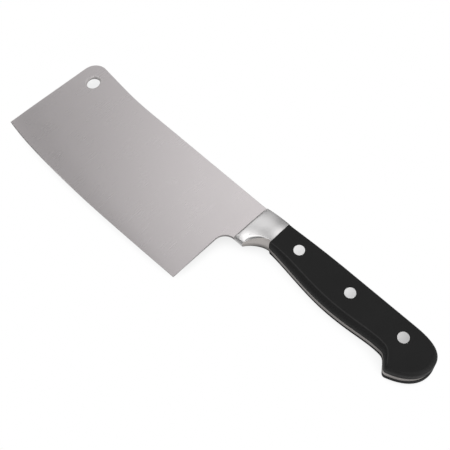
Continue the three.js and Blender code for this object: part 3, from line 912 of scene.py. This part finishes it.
# The rivets: three two-part compression rivets of bright steel. A hollow sleeve half comes
# from the front, a solid pin half is pressed into it from the back, and both heads are ground
# flush with the scales.
RIVET_HEAD_DIAMETER = 6.5
HEAD_EDGE_BREAK = 0.12
HEAD_DOME = 0.05
HEAD_FLAT = 0.1  # share of the head's radius that is flat in the middle
SLEEVE_DIAMETER = 4.6
PIN_DIAMETER = 3
PIN_CLEARANCE = 0.1
SLEEVE_END_TO_HEAD = 0.5
PIN_END_TO_SLEEVE = 0.5
rivet_steel = brushed_steel(
    "rivet_steel",
    colour=(0.772, 0.768, 0.768),
    shade=0.03,
    line_size=(0.2, 4, 4),
    roughness=(0.26, 0.34),
    line_depth=0.15,
)
head_radius = RIVET_HEAD_DIAMETER / 2
head_top = HANDLE_THICKNESS / 2
bore_radius = PIN_DIAMETER / 2 + PIN_CLEARANCE
sleeve_mouth = SLEEVE_END_TO_HEAD - rivet_seat
pin_end = rivet_seat - PIN_END_TO_SLEEVE
head_face = [
    (head_radius, head_top - HEAD_DOME - HEAD_EDGE_BREAK),
    (head_radius - HEAD_EDGE_BREAK, head_top - HEAD_DOME),
    (head_radius / 2, head_top - HEAD_DOME / 4),  # the dome falls with the distance squared
    (head_radius * HEAD_FLAT, head_top),
    (0, head_top),
]
sleeve_profile = [
    (0, rivet_seat),
    (bore_radius, rivet_seat),
    (bore_radius, sleeve_mouth),
    (SLEEVE_DIAMETER / 2, sleeve_mouth),
    (SLEEVE_DIAMETER / 2, rivet_seat),
    (head_radius, rivet_seat),
    *head_face,
]
pin_profile = [
    (0, -pin_end),
    (PIN_DIAMETER / 2, -pin_end),
    (PIN_DIAMETER / 2, rivet_seat),
    (head_radius, rivet_seat),
    *head_face,
]
for number, place in enumerate(rivet_places, 1):
    for half_name, profile, side in (("sleeve", sleeve_profile, 1), ("pin", pin_profile, -1)):
        half = bmesh.new()
        turned(half, place, [(radius, side * height) for radius, height in profile])
        piece = into_frame(in_millimetres(f"rivet_{half_name}_half_{number}", half, [rivet_steel]))
        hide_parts(f"rivet_{half_name}_{number}")
        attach(piece, "root")

# The floor: a wide matt white table top that the knife lies on. It shows as plain white, also
# in the steel, and keeps a faint shadow of the knife. Its lengths are in metres.
FLOOR_RADIUS = 6
FLOOR_SIDES = 64
FLOOR_BELOW = 0.0002
FLOOR_WHITE = (0.8, 0.8, 0.8, 1)
SEEN_REACH = 0.03  # how far from the knife its shadow begins, to the eye
SEEN_DARKNESS = 0.2
SEEN_OPENNESS = (0.2, 0.62)  # share of open sky where the shadow is darkest, and where it ends
MIRRORED_REACH = 0.01  # the same in the knife's own surfaces
MIRRORED_DARKNESS = 0.9
MIRRORED_OPENNESS = (0.6, 1)
floor_shape = bmesh.new()
bmesh.ops.create_circle(floor_shape, cap_ends=True, radius=FLOOR_RADIUS, segments=FLOOR_SIDES)
floor_mesh = bpy.data.meshes.new("floor")
floor_shape.to_mesh(floor_mesh)
floor_shape.free()
floor = bpy.data.objects.new("floor", floor_mesh)
floor.location.z = -FLOOR_BELOW
bpy.context.scene.collection.objects.link(floor)

material, tree, _ = new_finish("white_floor")
ray = node(tree, "ShaderNodeLightPath").outputs


def floor_glow(reach, darkness, openness):
    """White, darkened where the knife covers the sky."""
    sky = node(tree, "ShaderNodeAmbientOcclusion", Distance=reach).outputs["AO"]
    darkest, open_sky = openness
    shadow = {"From_Min": darkest, "From_Max": open_sky, "To_Min": 1 - darkness}
    return node(tree, "ShaderNodeMapRange", Value=sky, **shadow).outputs["Result"]


mirrored_glow = floor_glow(MIRRORED_REACH, MIRRORED_DARKNESS, MIRRORED_OPENNESS)
seen_glow = floor_glow(SEEN_REACH, SEEN_DARKNESS, SEEN_OPENNESS)
glow = in_range(tree, ray["Is Camera Ray"], mirrored_glow, seen_glow)
seen_or_mirrored = calculated(tree, "MAXIMUM", ray["Is Camera Ray"], ray["Is Glossy Ray"])
seen_at_all = calculated(tree, "MAXIMUM", seen_or_mirrored, ray["Is Transmission Ray"])
surface = node(tree, "ShaderNodeMixShader", Fac=seen_at_all)
lit = node(tree, "ShaderNodeBsdfDiffuse", Color=FLOOR_WHITE)
shown = node(tree, "ShaderNodeEmission", Strength=glow)
for socket, shader in zip(surface.inputs[1:], (lit, shown)):
    feed(tree, socket, shader.outputs[0])
node(tree, "ShaderNodeOutputMaterial", Surface=surface.outputs[0])
floor_mesh.materials.append(material)

# The studio: a dim room with soft round lamps and fills, a white sweep up to the horizon, and a
# backdrop that the camera sees as plain white. Of each lamp: the direction to it in the frame's
# axes, the angles in degrees within which it is full and beyond which it ends, and its strength.
ROOM_BRIGHTNESS = 0.05
KEY_LAMP = ((-0.415, 0.4, 1), 3, 22.8, 1.48)
SIDE_LAMP = ((-0.743, 0.33, 0.524), 5.5, 19.5, 1.06)
CHIN_LAMP = ((-0.59, -0.28, 0.48), 21, 26, 1.6)
EDGE_LAMP = ((-0.56, 0.04, 0.827), 1, 2.6, 1.3)
SCOOP_LAMP = ((0.3, -0.95, 0.15), 12, 30, 0.9)
BUTT_LAMP = ((0.95, 0.05, 0.15), 8, 22, 4.5)
TOP_FILL = ((0.43, -0.2, 0.88), 25, 43, 1)
REAR_FILL = ((0.8, 0.3, 0.5), 30, 55, 1.4)
SWEEP_END = math.radians(3)  # the sweep fades out this far above the horizon
world = bpy.data.worlds.new("studio")
bpy.context.scene.world = world
world.use_nodes = True
tree = world.node_tree
tree.nodes.clear()
towards = node(tree, "ShaderNodeTexCoord").outputs["Generated"]


def lamp_share(direction, full, none):
    """1 in the middle of a lamp, 0 outside it."""
    facing = node(tree, "ShaderNodeVectorMath", {"operation": "DOT_PRODUCT"})
    for socket, value in zip(facing.inputs, (towards, Vector(direction).normalized())):
        feed(tree, socket, value)
    angle = calculated(tree, "ARCCOSINE", facing.outputs["Value"])
    soft = {"interpolation_type": "SMOOTHSTEP"}
    share = node(tree, "ShaderNodeMapRange", soft, Value=angle, From_Min=none, From_Max=full)
    return share.outputs["Result"]


studio_brightness = ROOM_BRIGHTNESS
lamps = [KEY_LAMP, SIDE_LAMP, CHIN_LAMP, EDGE_LAMP, SCOOP_LAMP, BUTT_LAMP, TOP_FILL, REAR_FILL]
for direction, full, none, strength in lamps:
    share = lamp_share(direction, math.radians(full), math.radians(none))
    studio_brightness = calculated(tree, "MULTIPLY_ADD", share, strength, studio_brightness)
sweep = lamp_share((0, 0, -1), math.pi / 2, math.pi / 2 + SWEEP_END)
studio_brightness = calculated(tree, "MULTIPLY_ADD", sweep, 1 - ROOM_BRIGHTNESS, studio_brightness)
to_camera = node(tree, "ShaderNodeLightPath").outputs["Is Camera Ray"]
shown_white = calculated(tree, "MAXIMUM", studio_brightness, to_camera)
studio = node(tree, "ShaderNodeBackground", Color=(1, 1, 1, 1), Strength=shown_white)
node(tree, "ShaderNodeOutputWorld", Surface=studio.outputs[0])

# The camera: above the belly side of the handle, looking down over the knife's length
CAMERA_PLACE = (0.18011, -0.11612, 0.39127)  # metres
CAMERA_TURN = (28.736, 4.526, 45.774)  # degrees
CAMERA_LENS = 61.744  # millimetres
CAMERA_SENSOR = 36
camera = bpy.data.objects.new("camera", bpy.data.cameras.new("camera"))
camera.data.sensor_width = CAMERA_SENSOR
camera.data.lens = CAMERA_LENS
camera.location = CAMERA_PLACE
camera.rotation_euler = [math.radians(angle) for angle in CAMERA_TURN]
bpy.context.scene.collection.objects.link(camera)
bpy.context.scene.camera = camera
bpy.context.scene.view_settings.view_transform = "Standard"
